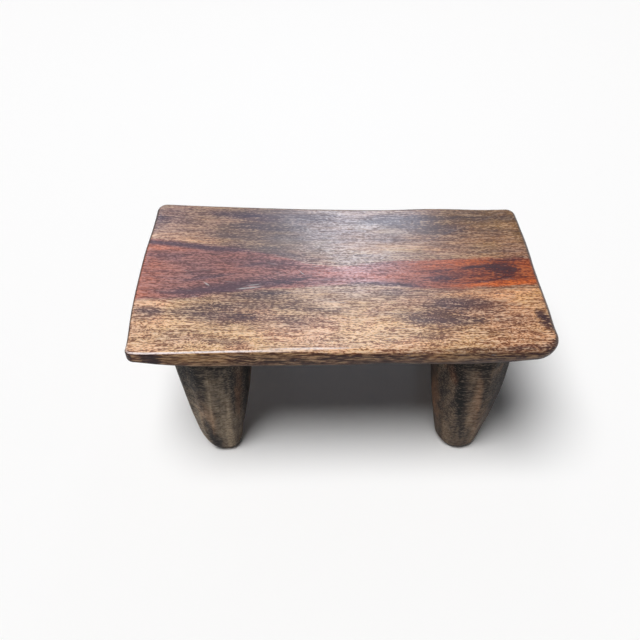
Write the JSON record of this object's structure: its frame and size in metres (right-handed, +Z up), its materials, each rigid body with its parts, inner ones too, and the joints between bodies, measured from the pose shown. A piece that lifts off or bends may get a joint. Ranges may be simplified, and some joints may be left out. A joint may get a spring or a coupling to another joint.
{
  "type": "senufo stool",
  "caption": "Low carved wooden stool: a thick, lengthwise hollowed slab seat with hand-rounded edges on stout tapering faceted legs with rounded feet.",
  "frame": {"origin": "on the floor, under the middle of the stool's box", "axes": "+X along the seat's length, +Y across it towards the back long side, +Z up"},
  "size_m": [0.534, 0.283, 0.235],
  "materials": {
    "seat_wood": "dark stained hardwood with a worn wax sheen",
    "leg_wood": "dark stained hewn hardwood, dull"
  },
  "bodies": {
    "root": {"seat": "seat_wood", "leg_front_left": "leg_wood", "leg_front_right": "leg_wood", "leg_back_left": "leg_wood", "leg_back_right": "leg_wood"}
  },
  "joints": []
}
